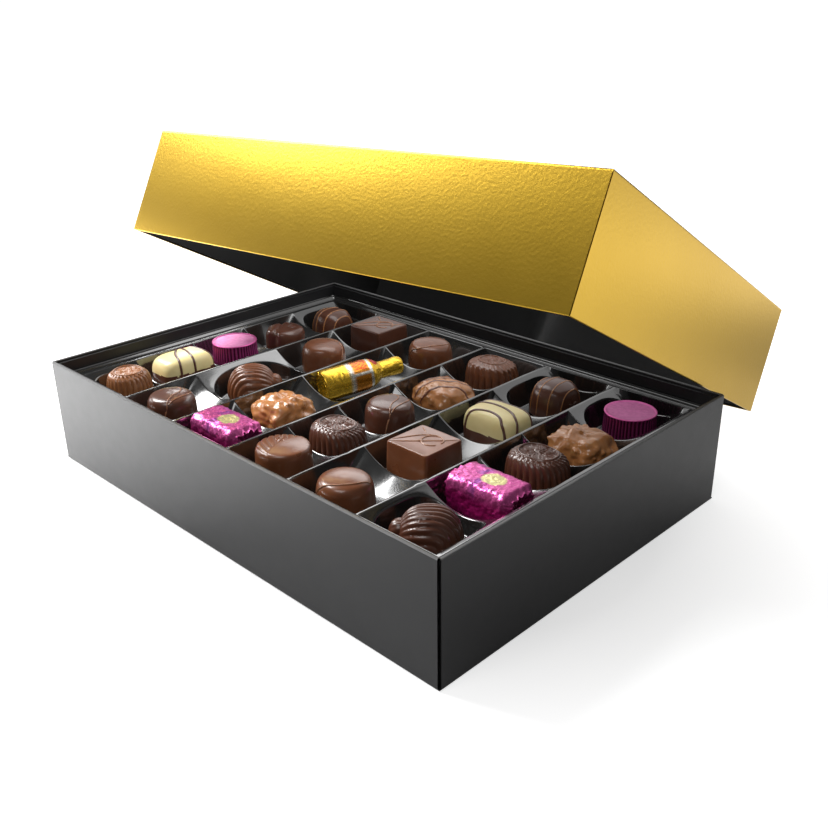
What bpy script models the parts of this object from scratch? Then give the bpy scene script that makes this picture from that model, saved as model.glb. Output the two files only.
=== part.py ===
"""Box of chocolate pralines: a folded carton base with a pressed tray of six rows of cells,
a praline standing in each cell, and a lift-off lid that leans on the rim of the base.

The origin is the centre of the underside, +X runs along the long side and +Z is up.
"""
import math
import random

import bmesh
import bpy
from mathutils import Euler, Matrix, Vector

MM = 0.001
GAP = 0.3 * MM                  # air between pieces that touch
SAME = 0.01 * MM                # points closer than this are one point

# Carton base
BASE_LENGTH = 300 * MM
BASE_WIDTH = 212 * MM
BASE_HEIGHT = 60 * MM
BASE_WALL = 3.5 * MM            # two layers of board, folded over the rim
BASE_FLOOR = 2 * MM
CORNER_SLIT = 1.4 * MM          # open fold at each upright corner

# Full-depth lid, whose own origin is its corner that is lowest and furthest to -X
LID_PLAY = 0.5 * MM
LID_WALL = 2.5 * MM
LID_DEPTH = 61 * MM
LID_CORNER = Vector((-168.7, 154.0, 15.85)) * MM
LID_TILT = Euler([math.radians(angle) for angle in (-28.86, -1.92, 2.74)])

# Pressed tray
FLANGE_TOP = 53 * MM
FLANGE_WIDTH = 4.6 * MM
FLANGE_STEP = 0.5 * MM
RIDGE_TOP = 51.5 * MM
RIDGE_WIDTH = 1.4 * MM          # flat top of the ridge between two rows
CELL_FLOOR = 36 * MM
CELLS_LENGTH = 276 * MM         # six rows side by side along X
CELLS_WIDTH = 188 * MM          # each row runs along Y
SADDLE_SAG = 8 * MM             # how far the wall between two cells of a row dips
CELL_PLAY = 1.2 * MM            # floor of a cell around its praline
CELL_EDGE = 0.6 * MM            # least run of a cell's wall from its edge to its floor
SIDE_RUN = 2.5 * MM             # run of the steep wall below each ridge
PIT_LAND = 2.6 * MM             # band around a cell with upright walls
SIDES_ACROSS = 6                # edges of a cell along X and along Y
SIDES_ALONG = 3

# kind: length along X, width along Y and height, in millimetres
PRALINE_SIZES = {
    "fluted_round": (27, 27, 20),
    "cream_bar": (34, 24, 18.5),
    "foil_cup": (28, 28, 14.5),
    "heart": (28, 25, 18),
    "striped_dome": (28, 26, 19),
    "swirl_round": (27, 26, 20),
    "shell": (34, 28, 20),
    "smooth_dome": (27.5, 26, 20),
    "square": (27.5, 26, 19.5),
    "foil_block": (38, 21, 19),
    "nut_cluster": (37, 31, 21),
    "foil_bottle": (32, 54, 17),
    "leaf_drum": (28.5, 26.5, 20),
    "fluted_oval": (33, 25, 19),
    "nut_dome": (36, 29, 19),
}
BOTTLE_LENGTH = 50 * MM
BOTTLE_TURN = math.radians(-18)
BOTTLE_LIFT = math.radians(5)   # the neck is up
BOTTLE_SHIFT = -3 * MM          # from the middle of its row

# Rows from -X to +X, and in each row from -Y to +Y: kind, cell length and shift of the praline
ROWS = {
    "a": (("fluted_round", 33, -1), ("cream_bar", 40, -2), ("foil_cup", 38.5, -4),
          ("heart", 40.5, -6), ("striped_dome", 36, -2.5)),
    "b": (("swirl_round", 44, -8), ("shell", 57, -4.5), ("smooth_dome", 46, -4),
          ("square", 41, -1.5)),
    "c": (("foil_block", 37, -2.5), ("nut_cluster", 47, -9), ("foil_bottle", 65, -2.5),
          ("smooth_dome", 39, -3.5)),
    "d": (("leaf_drum", 36.5, -2), ("fluted_oval", 33.5, -3), ("swirl_round", 41, -4.5),
          ("nut_dome", 38, -3.5), ("fluted_oval", 39, -0.5)),
    "e": (("smooth_dome", 46, -9), ("square", 51.5, -7.5), ("cream_bar", 43.5, -1),
          ("striped_dome", 47, 2.5)),
    "f": (("shell", 40, -2), ("foil_block", 36, -1), ("fluted_oval", 32, 0),
          ("nut_cluster", 38, -1), ("foil_cup", 42, 2)),
}
# Cells with upright walls, and how square each is: 2 is an oval
PIT_CELLS = {"a1": 4, "a5": 4, "b2": 2.4, "e4": 4, "f1": 4, "f5": 3}
SLOPE_POWER = 8                 # the floors of the other cells
RAISED_CELLS = {"a2": 2, "a3": 4}       # how much higher a shallow cell's floor is, in mm
TURNED_CELLS = ("a2",)          # their pralines lie along Y
DARK_CELLS = ("a4", "a5", "b1", "b4", "d2", "d3", "e4", "f1", "f3")

# Upright outlines of the pralines: parts of the height and of the footprint
DOME = ((0, 1), (0.5, 1), (0.78, 0.9), (0.94, 0.66), (1, 0.3))
DRUM = ((0, 0.97), (0.72, 1), (0.92, 0.92), (1, 0.76))
BLOCK = ((0, 1), (0.93, 0.96), (1, 0.9))
BAR = ((0, 0.98), (0.3, 1), (0.75, 0.93), (1, 0.72))
FLUTED = ((0, 1), (0.8, 0.88), (1, 0.72))
CUP = ((0, 0.97), (0.15, 1), (0.96, 0.92), (1, 0.87))
SHELL = ((0, 0.86), (0.3, 1), (0.62, 0.9), (0.88, 0.62), (1, 0.25))


def clear_scene():
    for item in list(bpy.data.objects):
        bpy.data.objects.remove(item, do_unlink=True)


def make_material(name, colour, roughness, metallic=0.0):
    material = bpy.data.materials.new(name)
    material.use_nodes = True
    shader = material.node_tree.nodes["Principled BSDF"]
    shader.inputs["Base Color"].default_value = (*colour, 1.0)
    shader.inputs["Roughness"].default_value = roughness
    shader.inputs["Metallic"].default_value = metallic
    return material


def add_object(name, bm, material, smooth_angle=None):
    """Turn a closed bmesh into an object with its faces pointing out."""
    bmesh.ops.recalc_face_normals(bm, faces=bm.faces)
    mesh = bpy.data.meshes.new(name)
    bm.to_mesh(mesh)
    bm.free()
    if smooth_angle is not None:
        mesh.shade_smooth()
        mesh.set_sharp_from_angle(angle=smooth_angle)
    mesh.materials.append(material)
    item = bpy.data.objects.new(name, mesh)
    bpy.context.collection.objects.link(item)
    return item


# ---- shared shapes ----

def face_on(bm, points):
    return bm.faces.new([bm.verts.new(point) for point in points])


def press(bm, face, ring):
    """Pull a face out of itself and move its points to the ring."""
    face = bmesh.ops.extrude_discrete_faces(bm, faces=[face])["faces"][0]
    for vert, point in zip(face.verts, ring):
        vert.co = point
    return face


def stack(rings):
    """A closed body through rings of points, from the lowest to the highest."""
    bm = bmesh.new()
    face = face_on(bm, rings[0])
    lowest = list(face.verts)
    for ring in rings[1:]:
        face = press(bm, face, ring)
    bm.faces.new(lowest[::-1])
    return bm


def rectangle(length, width, z, inset=0.0):
    x, y = length / 2 - inset, width / 2 - inset
    return [Vector((-x, -y, z)), Vector((x, -y, z)), Vector((x, y, z)), Vector((-x, y, z))]


def oval(half_x, half_y, z, sides=20, power=2.0, flutes=0, depth=0.0, turn=0.0):
    """A ring from round (power 2) to nearly square, with flutes cut into it."""
    ring = []
    for number in range(sides):
        angle = 2 * math.pi * number / sides
        x, y = math.cos(angle), math.sin(angle)
        reach = (abs(x) ** power + abs(y) ** power) ** (1 / power)
        reach /= 1 - depth * (0.5 - 0.5 * math.cos(flutes * (angle + turn)))
        ring.append(Vector((x / reach * half_x, y / reach * half_y, z)))
    return ring


# ---- cartons ----

def slit_rectangle(length, width, z):
    """A rectangle with a small square notch at each corner, where two panels meet."""
    points = []
    for corner in rectangle(length, width, z):
        in_x = Vector((-math.copysign(CORNER_SLIT, corner.x), 0, 0))
        in_y = Vector((0, -math.copysign(CORNER_SLIT, corner.y), 0))
        first, last = (in_y, in_x) if corner.x * corner.y > 0 else (in_x, in_y)
        points += [corner + first, corner + in_x + in_y, corner + last]
    return points


def open_prism(bm, low_ring, high_ring):
    """A floor and its walls, which point either way; returns the edges of the open top."""
    floor = face_on(bm, low_ring)
    lowest = list(floor.verts)
    top = press(bm, floor, high_ring)
    bm.faces.new(lowest[::-1])
    edges = list(top.edges)
    bmesh.ops.delete(bm, geom=[top], context="FACES_ONLY")
    return edges


def carton(length, width, height, wall, floor):
    """An open box standing on its floor, centred on the origin."""
    bm = bmesh.new()
    rim = open_prism(bm, slit_rectangle(length, width, 0), slit_rectangle(length, width, height))
    rim += open_prism(bm, rectangle(length, width, floor, wall),
                      rectangle(length, width, height, wall))
    bmesh.ops.triangle_fill(bm, use_beauty=True, edges=rim)
    return bm


def make_base(material):
    bm = carton(BASE_LENGTH, BASE_WIDTH, BASE_HEIGHT, BASE_WALL, BASE_FLOOR)
    add_object("base_carton", bm, material)


def make_lid(material):
    """The lid is a carton upside down, raised at the front by its tilt."""
    grow = 2 * (LID_PLAY + LID_WALL)
    length, width = BASE_LENGTH + grow, BASE_WIDTH + grow
    bm = carton(length, width, LID_DEPTH, LID_WALL, LID_WALL)
    to_corner = Matrix.Translation((length / 2, -width / 2, LID_DEPTH))
    over = Matrix.Rotation(math.pi, 4, "X")
    bmesh.ops.transform(bm, matrix=to_corner @ over, verts=bm.verts)
    lid = add_object("lid_carton", bm, material)
    lid.location = LID_CORNER
    lid.rotation_euler = LID_TILT


# ---- tray ----

def cells():
    """Each cell's name, kind, x range, y range and the centre of its praline."""
    pitch = CELLS_LENGTH / len(ROWS)
    for index, (row, row_cells) in enumerate(ROWS.items()):
        left = -CELLS_LENGTH / 2 + index * pitch
        front = -CELLS_WIDTH / 2
        for place, (kind, length, shift) in enumerate(row_cells, 1):
            back = front + length * MM
            aside = BOTTLE_SHIFT if kind == "foil_bottle" else 0
            centre = Vector((left + pitch / 2 + aside, (front + back) / 2 + shift * MM))
            yield f"{row}{place}", kind, (left, left + pitch), (front, back), centre
            front = back


def floor_level(cell):
    return CELL_FLOOR + RAISED_CELLS.get(cell, 0) * MM


def cell_ring(centre, half_x, half_y, power=None):
    """Points round a cell from its -X -Y corner: square with no power, rounder as it falls."""
    walk = [(2 * i / SIDES_ACROSS - 1, -1) for i in range(SIDES_ACROSS)]
    walk += [(1, 2 * i / SIDES_ALONG - 1) for i in range(SIDES_ALONG)]
    walk += [(-x, -y) for x, y in walk]
    ring = []
    for x, y in walk:
        reach = (abs(x) ** power + abs(y) ** power) ** (1 / power) if power else 1
        ring.append(centre + Vector((x / reach * half_x, y / reach * half_y)))
    return ring


def at_heights(ring, heights):
    return [Vector((*point, z)) for point, z in zip(ring, heights)]


def press_cell(bm, cell, kind, span_x, span_y, centre):
    """One cell of the tray: its edge, a shoulder and its floor, pressed from one face."""
    middle = Vector((sum(span_x) / 2, sum(span_y) / 2))
    half_x = (span_x[1] - span_x[0] - RIDGE_WIDTH) / 2
    half_y = (span_y[1] - span_y[0]) / 2
    edge = cell_ring(middle, half_x, half_y)
    heights = []
    for point in edge:
        at_end = abs(abs(point.y - middle.y) - half_y) < SAME
        inside = abs(point.y) < CELLS_WIDTH / 2 - SAME
        across = (point.x - middle.x) / half_x
        heights.append(RIDGE_TOP - (SADDLE_SAG * (1 - across ** 2) if at_end and inside else 0))
    if cell in PIT_CELLS:
        half_y -= PIT_LAND / 2
        shoulder = cell_ring(middle, half_x - PIT_LAND, half_y, PIT_CELLS[cell])
        floor = cell_ring(middle, half_x - 1.5 * PIT_LAND, half_y, PIT_CELLS[cell])
        levels = [z - PIT_LAND / 2 for z in heights]
    else:
        length, width, _ = PRALINE_SIZES[kind]
        reach = (length if cell in TURNED_CELLS else width) * MM / 2 + CELL_PLAY
        near = max(centre.y - reach, span_y[0] + CELL_EDGE)
        far = min(centre.y + reach, span_y[1] - CELL_EDGE)
        floor = cell_ring(Vector((middle.x, (near + far) / 2)), half_x - SIDE_RUN,
                          (far - near) / 2, SLOPE_POWER)
        shoulder = [rim.lerp(low, 0.6) for rim, low in zip(edge, floor)]
        levels = [z + (floor_level(cell) - z) * 0.55 for z in heights]
    face = face_on(bm, at_heights(edge, heights))
    face = press(bm, face, at_heights(shoulder, levels))
    press(bm, face, at_heights(floor, [floor_level(cell)] * len(floor)))


def make_tray(material):
    """The cells in their rows, the flat top between and around them, and the outer skirt."""
    bm = bmesh.new()
    for cell in cells():
        press_cell(bm, *cell)
    bmesh.ops.remove_doubles(bm, verts=bm.verts, dist=SAME)
    rows = [edge for edge in bm.edges if edge.is_boundary]
    length = BASE_LENGTH - 2 * (BASE_WALL + GAP)
    width = BASE_WIDTH - 2 * (BASE_WALL + GAP)
    around = face_on(bm, rectangle(length, width, RIDGE_TOP, FLANGE_WIDTH))
    inner = list(around.edges)
    for inset, z in ((FLANGE_WIDTH - FLANGE_STEP, FLANGE_TOP), (0, FLANGE_TOP),
                     (0, BASE_FLOOR + GAP)):
        around = press(bm, around, rectangle(length, width, z, inset))
    bmesh.ops.triangle_fill(bm, use_beauty=True, edges=rows + inner)
    add_object("tray", bm, material)


# ---- pralines ----

def profiled(kind, profile, power=2.0, flutes=0, depth=0.0, twist=0.0, sides=20):
    """A praline that stands upright: one ring for each step of its profile."""
    length, width, height = (size * MM for size in PRALINE_SIZES[kind])
    sides = 2 * flutes or sides
    return stack([
        oval(length / 2 * scale, width / 2 * scale, height * level, sides, power, flutes,
             depth if level < 1 else 0, twist * level)
        for level, scale in profile])


def heart(kind):
    """A rounded praline with a notch at one end and two lobes beside it."""
    length, width, height = (size * MM for size in PRALINE_SIZES[kind])
    rings = []
    for level, scale in DRUM:
        ring = oval(length / 2 * scale, width / 2 * scale, height * level, 24)
        for point in ring:
            away = math.atan2(point.y, -point.x)
            point.xy *= 1 - 0.3 * math.exp(-(away / 0.45) ** 2)
        rings.append(ring)
    return stack(rings)


def lumpy(kind, bump, seed):
    """A heap of nuts under chocolate: a dome with round bumps and a flat foot."""
    length, width, height = (size * MM for size in PRALINE_SIZES[kind])
    chance = random.Random(seed)
    bumps = [Vector([chance.gauss(0, 1) for _ in range(3)]).normalized() for _ in range(24)]
    bm = bmesh.new()
    bmesh.ops.create_icosphere(bm, subdivisions=3, radius=1)
    foot = -0.55
    for vert in bm.verts:
        near = max(vert.co.dot(direction) for direction in bumps)
        vert.co *= 1 - bump * min(1, (1 - near) / 0.12)
        x, y, z = vert.co
        z = max(z, foot)
        vert.co = (x * length / 2, y * width / 2, (z - foot) / (1 - foot) * height)
    return bm


def bottle(kind):
    """A foil bottle on its side, with a crimped end, a shoulder and a neck."""
    radius = PRALINE_SIZES[kind][2] * MM / 2
    steps = ((0, 0.7), (0.05, 1), (0.56, 1), (0.68, 0.62), (0.74, 0.5), (0.96, 0.5), (1, 0.42))
    bm = stack([oval(radius * scale, radius * scale, BOTTLE_LENGTH * level, 16)
                for level, scale in steps])
    middle = radius + BOTTLE_LENGTH / 2 * math.sin(BOTTLE_LIFT)
    lay = Matrix.Translation((0, 0, middle)) @ Matrix.Rotation(BOTTLE_TURN, 4, "Z") \
        @ Matrix.Rotation(BOTTLE_LIFT - math.pi / 2, 4, "X") \
        @ Matrix.Translation((0, 0, -BOTTLE_LENGTH / 2))
    bmesh.ops.transform(bm, matrix=lay, verts=bm.verts)
    return bm


def praline_shape(kind, seed):
    shapes = {
        "fluted_round": lambda: profiled(kind, FLUTED, flutes=14, depth=0.1),
        "cream_bar": lambda: profiled(kind, BAR, power=4),
        "foil_cup": lambda: profiled(kind, CUP, flutes=16, depth=0.06),
        "heart": lambda: heart(kind),
        "striped_dome": lambda: profiled(kind, DOME, power=2.5),
        "swirl_round": lambda: profiled(kind, DOME),
        "shell": lambda: profiled(kind, SHELL, flutes=11, depth=0.16, twist=0.5),
        "smooth_dome": lambda: profiled(kind, DOME),
        "square": lambda: profiled(kind, BLOCK, power=12),
        "foil_block": lambda: profiled(kind, BLOCK, power=7),
        "nut_cluster": lambda: lumpy(kind, 0.16, seed),
        "foil_bottle": lambda: bottle(kind),
        "leaf_drum": lambda: profiled(kind, DRUM),
        "fluted_oval": lambda: profiled(kind, FLUTED, power=2.6, flutes=15, depth=0.1),
        "nut_dome": lambda: lumpy(kind, 0.07, seed),
    }
    return shapes[kind]()


def make_pralines(materials):
    finish = {"cream_bar": "cream", "foil_cup": "pink_foil", "foil_block": "pink_foil",
              "foil_bottle": "gold_foil"}
    for seed, (cell, kind, _, _, centre) in enumerate(cells()):
        chocolate = "dark_chocolate" if cell in DARK_CELLS else "milk_chocolate"
        bm = praline_shape(kind, seed)
        praline = add_object(f"praline_{cell}_{kind}", bm, materials[finish.get(kind, chocolate)],
                             math.radians(50))
        praline.location = (*centre, floor_level(cell) + GAP)
        praline.rotation_euler.z = math.pi / 2 if cell in TURNED_CELLS else 0


def main():
    clear_scene()
    materials = {
        "milk_chocolate": make_material("milk_chocolate", (0.2, 0.085, 0.04), 0.35),
        "dark_chocolate": make_material("dark_chocolate", (0.1, 0.04, 0.02), 0.32),
        "cream": make_material("cream", (0.85, 0.75, 0.45), 0.35),
        "pink_foil": make_material("pink_foil", (0.6, 0.05, 0.3), 0.3, 0.8),
        "gold_foil": make_material("gold_foil", (0.85, 0.6, 0.1), 0.25, 0.9),
    }
    make_base(make_material("black_board", (0.03, 0.03, 0.032), 0.35))
    make_lid(make_material("gold_board", (0.55, 0.42, 0.1), 0.35, 0.8))
    make_tray(make_material("black_plastic", (0.015, 0.015, 0.016), 0.12))
    make_pralines(materials)


main()
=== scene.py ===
"""The looks of an open box of chocolate pralines: two folded cartons, a pressed tray,
and moulded chocolates, nut clusters and foil-wrapped pieces in its cells.
"""
import math
import random

import bmesh
import bpy
from mathutils import Euler, Matrix, Vector, noise
from mathutils.bvhtree import BVHTree
from mathutils.kdtree import KDTree


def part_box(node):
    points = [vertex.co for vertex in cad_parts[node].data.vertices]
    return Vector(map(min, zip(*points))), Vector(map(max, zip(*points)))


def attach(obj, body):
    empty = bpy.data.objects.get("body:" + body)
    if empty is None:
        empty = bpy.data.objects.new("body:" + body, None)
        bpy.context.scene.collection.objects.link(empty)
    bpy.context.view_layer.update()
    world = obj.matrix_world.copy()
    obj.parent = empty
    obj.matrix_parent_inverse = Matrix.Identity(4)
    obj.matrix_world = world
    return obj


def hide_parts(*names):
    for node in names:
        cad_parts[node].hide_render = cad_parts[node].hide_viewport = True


MM = 0.001
SAME = 0.01 * MM

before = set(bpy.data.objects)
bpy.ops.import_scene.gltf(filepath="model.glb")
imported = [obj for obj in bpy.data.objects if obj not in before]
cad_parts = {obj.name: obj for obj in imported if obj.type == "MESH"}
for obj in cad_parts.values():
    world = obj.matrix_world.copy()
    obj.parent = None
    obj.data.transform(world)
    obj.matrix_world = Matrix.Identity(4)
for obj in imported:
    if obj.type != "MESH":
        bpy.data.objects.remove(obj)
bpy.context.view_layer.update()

# Cartons, as in the frame
BASE_WALL = 3.5 * MM
BASE_FLOOR = 2 * MM
RIM_STEP = 1.4 * MM
LID_PLAY = 0.5 * MM
LID_WALL = 2.5 * MM
LID_DEPTH = 61 * MM
LID_CORNER = Vector((-168.7, 154.0, 15.85)) * MM
LID_TILT = Euler([math.radians(angle) for angle in (-28.86, -1.92, 2.74)])

# Pressed tray, as in the frame
RIDGE_TOP = 51.5 * MM
RIDGE_WIDTH = 1.4 * MM
GAP = 0.3 * MM
CELLS_LENGTH = 276 * MM
CELLS_WIDTH = 188 * MM
SADDLE_SAG = 8 * MM
CELL_PLAY = 1.2 * MM
CELL_EDGE = 0.6 * MM
SIDE_RUN = 2.5 * MM
PIT_LAND = 2.6 * MM
SKIRT_LOW = 30 * MM
SHEET = 0.45 * MM
CELL_LENGTHS = {
    "a": (33, 40, 38.5, 40.5, 36),
    "b": (44, 57, 46, 41),
    "c": (37, 47, 65, 39),
    "d": (36.5, 33.5, 41, 38, 39),
    "e": (46, 51.5, 43.5, 47),
    "f": (40, 36, 32, 38, 42),
}
PIT_CELLS = {"a1": 4, "a5": 4, "b2": 2.4, "e4": 4, "f1": 4, "f5": 3}
SLOPE_POWER = 8

DARK_CELLS = ("a4", "a5", "b1", "b4", "d2", "d3", "e4", "f1", "f3")
PRALINES = {name.split("_")[1]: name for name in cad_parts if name.startswith("praline_")}
RIGHT = Vector((1, 1, 0)).normalized()      # across the view of a praline from the open corner
AWAY = Vector((-1, 1, 0)).normalized()      # and away from that corner


# ---- nodes and materials ----

class Nodes:
    """Short ways to add and link nodes in one tree."""

    def __init__(self, tree):
        self.tree = tree

    def link(self, start, end):
        self.tree.links.new(start, end)

    def fill(self, node, inputs):
        for name, value in inputs.items():
            if isinstance(value, bpy.types.NodeSocket):
                self.link(value, node.inputs[name])
            else:
                node.inputs[name].default_value = value
        return node

    def add(self, kind, inputs=None, **settings):
        node = self.tree.nodes.new("ShaderNode" + kind)
        for name, value in settings.items():
            setattr(node, name, value)
        return self.fill(node, inputs or {})

    def group(self, tree, **inputs):
        node = self.tree.nodes.new("ShaderNodeGroup")
        node.node_tree = tree
        return self.fill(node, inputs)

    def math(self, operation, *values):
        return self.add("Math", dict(enumerate(values)), operation=operation).outputs[0]

    def span(self, value, to_low, to_high, low=0.0, high=1.0):
        """The value between low and high, moved to between two others."""
        inputs = {"Value": value, "From Min": low, "From Max": high,
                  "To Min": to_low, "To Max": to_high}
        return self.add("MapRange", inputs).outputs["Result"]

    def noise(self, place, size, detail, roughness=0.5):
        return self.add("TexNoise", {"Vector": place, "Scale": size, "Detail": detail,
                                     "Roughness": roughness}).outputs

    def object_place(self, location=(0, 0, 0), scale=(1, 1, 1)):
        place = self.add("TexCoord").outputs["Object"]
        inputs = {"Vector": place, "Location": location, "Scale": scale}
        return self.add("Mapping", inputs).outputs["Vector"]

    def mottle(self, place, size, spread, low=(0, 0, 0), high=(1, 1, 1)):
        """The colour and the value of soft patches."""
        patches = self.group(MOTTLE, Place=place, Size=size, Low=rgb(*low), High=rgb(*high),
                             Spread=spread)
        return patches.outputs["Colour"], patches.outputs["Value"]

    def grain(self, place, size, coarse, roughness, wander):
        """The height and the roughness of a fine grain."""
        fine = self.group(GRAIN, Place=place, Size=size, Coarse=coarse, Roughness=roughness,
                          Wander=wander)
        return fine.outputs["Height"], fine.outputs["Roughness"]


def rgb(*colour):
    return (*colour, 1.0)


def new_group(name, inputs, outputs):
    """A node group with its sockets: its nodes, its inputs by name and its output node.

    A colour or a value brings its default, and a place has none.
    """
    tree = bpy.data.node_groups.new(name, "ShaderNodeTree")
    for label, value in inputs.items():
        kind = {type(None): "Vector", float: "Float", tuple: "Color"}[type(value)]
        socket = tree.interface.new_socket(label, in_out="INPUT", socket_type="NodeSocket" + kind)
        if value is not None:
            socket.default_value = value
    for label, kind in outputs.items():
        tree.interface.new_socket(label, in_out="OUTPUT", socket_type="NodeSocket" + kind)
    start = tree.nodes.new("NodeGroupInput")
    end = tree.nodes.new("NodeGroupOutput")
    return Nodes(tree), start.outputs, end


def make_mottle():
    """Soft patches between two colours, with the patch value for roughness or bump."""
    nodes, start, end = new_group(
        "mottle",
        {"Place": None, "Size": 100.0, "Low": rgb(0, 0, 0), "High": rgb(1, 1, 1),
         "Spread": 0.3},
        {"Colour": "Color", "Value": "Float"})
    patches = nodes.noise(start["Place"], start["Size"], 4.0, 0.55)["Fac"]
    low = nodes.math("SUBTRACT", 0.5, start["Spread"])
    high = nodes.math("ADD", 0.5, start["Spread"])
    value = nodes.span(patches, 0.0, 1.0, low, high)
    mix = nodes.add("Mix", data_type="RGBA")
    nodes.fill(mix, {"Factor": value, "A": start["Low"], "B": start["High"]})
    nodes.fill(end, {"Colour": mix.outputs["Result"], "Value": value})
    return nodes.tree


def make_grain():
    """Fine pressed grain: a height for bump and a roughness that follows it."""
    nodes, start, end = new_group(
        "fine_grain",
        {"Place": None, "Size": 1500.0, "Coarse": 0.3, "Roughness": 0.4, "Wander": 0.1},
        {"Height": "Float", "Roughness": "Float"})
    fine = nodes.noise(start["Place"], start["Size"], 3.0)["Fac"]
    wide_size = nodes.math("MULTIPLY", start["Size"], 0.08)
    wide = nodes.noise(start["Place"], wide_size, 2.0)["Fac"]
    share = nodes.math("MULTIPLY", wide, start["Coarse"])
    centred = nodes.math("SUBTRACT", wide, 0.5)
    nodes.fill(end, {
        "Height": nodes.math("ADD", fine, share),
        "Roughness": nodes.math("MULTIPLY_ADD", centred, start["Wander"], start["Roughness"])})
    return nodes.tree


def make_wrinkles():
    """Sharp creases of crumpled foil, as a height."""
    nodes, start, end = new_group("foil_wrinkles", {"Place": None, "Size": 200.0},
                                  {"Height": "Float"})
    bend_noise = nodes.noise(start["Place"], start["Size"], 2.0)
    moved = nodes.add("VectorMath", {0: bend_noise["Color"], 1: (0.004, 0.004, 0.004)},
                      operation="MULTIPLY")
    place = nodes.add("VectorMath", {0: start["Place"], 1: moved.outputs["Vector"]},
                      operation="ADD")
    cells = nodes.add("TexVoronoi", {"Vector": place.outputs["Vector"],
                                     "Scale": start["Size"]}, feature="DISTANCE_TO_EDGE")
    crease = nodes.span(cells.outputs["Distance"], 0.0, 1.0, 0.0, 0.25)
    nodes.fill(end, {"Height": nodes.math("MULTIPLY_ADD", bend_noise["Fac"], 0.7, crease)})
    return nodes.tree


MOTTLE = make_mottle()
GRAIN = make_grain()
WRINKLES = make_wrinkles()


def start_material(name, **shader_values):
    material = bpy.data.materials.new(name)
    material.use_nodes = True
    shader = material.node_tree.nodes["Principled BSDF"]
    for label, value in shader_values.items():
        shader.inputs[label.replace("_", " ")].default_value = value
    return material, Nodes(material.node_tree), shader


def finish_material(nodes, shader, colour, roughness, height, strength, depth):
    """Link the colour and the roughness, and bump the surface by a height."""
    bump = nodes.add("Bump", {"Height": height, "Strength": strength, "Distance": depth})
    nodes.fill(shader, {"Base Color": colour, "Roughness": roughness,
                        "Normal": bump.outputs["Normal"]})


def board(name, low, high, roughness, grain_size, bump, wander=0.08, **shader_values):
    """Laminated carton: faint cloudy colour and a pressed grain."""
    material, nodes, shader = start_material(name, **shader_values)
    place = nodes.object_place()
    colour, _ = nodes.mottle(place, 14.0, 0.25, low, high)
    height, rough = nodes.grain(place, grain_size, 0.0, roughness, wander)
    finish_material(nodes, shader, colour, rough, height, bump, 0.1 * MM)
    return material


def chocolate(name, low, high, roughness=0.3, coat=0.5):
    """Moulded chocolate: slight patches, a soft satin and small ripples in the surface."""
    material, nodes, shader = start_material(name, Coat_Roughness=0.16, Coat_IOR=1.5,
                                             Subsurface_Weight=0.04,
                                             Subsurface_Scale=1.5 * MM)
    place = nodes.object_place()
    colour, patches = nodes.mottle(place, 120.0, 0.22, low, high)
    height, rough = nodes.grain(place, 900.0, 2.0, roughness, 0.14)
    nodes.link(nodes.span(patches, coat * 0.7, coat), shader.inputs["Coat Weight"])
    finish_material(nodes, shader, colour, rough, height, 0.25, 0.06 * MM)
    return material


def printed_foil(name, metallic=0.75, roughness=0.3, size=260.0, bump=0.5):
    """Wrapping foil: its printed colour and painted shade are a colour on the points, over sharp
    wrinkles.
    """
    material, nodes, shader = start_material(name, Metallic=metallic)
    place = nodes.object_place()
    tint = nodes.add("Attribute", attribute_name="print")
    shade, patches = nodes.mottle(place, 500.0, 0.2, (0.82, 0.8, 0.82))
    mix = nodes.add("Mix", data_type="RGBA", blend_type="MULTIPLY")
    nodes.fill(mix, {"Factor": 1.0, "A": tint.outputs["Color"], "B": shade})
    rough = nodes.span(patches, roughness + 0.06, roughness - 0.06)
    wrinkles = nodes.group(WRINKLES, Place=place, Size=size)
    finish_material(nodes, shader, mix.outputs["Result"], rough, wrinkles.outputs["Height"],
                    bump, 0.25 * MM)
    return material


def tray_plastic():
    """Glossy black pressed sheet, slightly wavy where it was drawn thin."""
    material, nodes, shader = start_material("tray_plastic", Coat_Weight=1.0, Coat_IOR=1.6,
                                             Coat_Roughness=0.11, Specular_IOR_Level=0.9)
    place = nodes.object_place()
    colour, _ = nodes.mottle(place, 40.0, 0.3, (0.012, 0.012, 0.012), (0.02, 0.02, 0.019))
    _, scuffs = nodes.mottle(place, 160.0, 0.35)
    waves = nodes.noise(place, 90.0, 2.0)["Fac"]
    finish_material(nodes, shader, colour, nodes.span(scuffs, 0.13, 0.24), waves, 0.12,
                    0.12 * MM)
    return material


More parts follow.
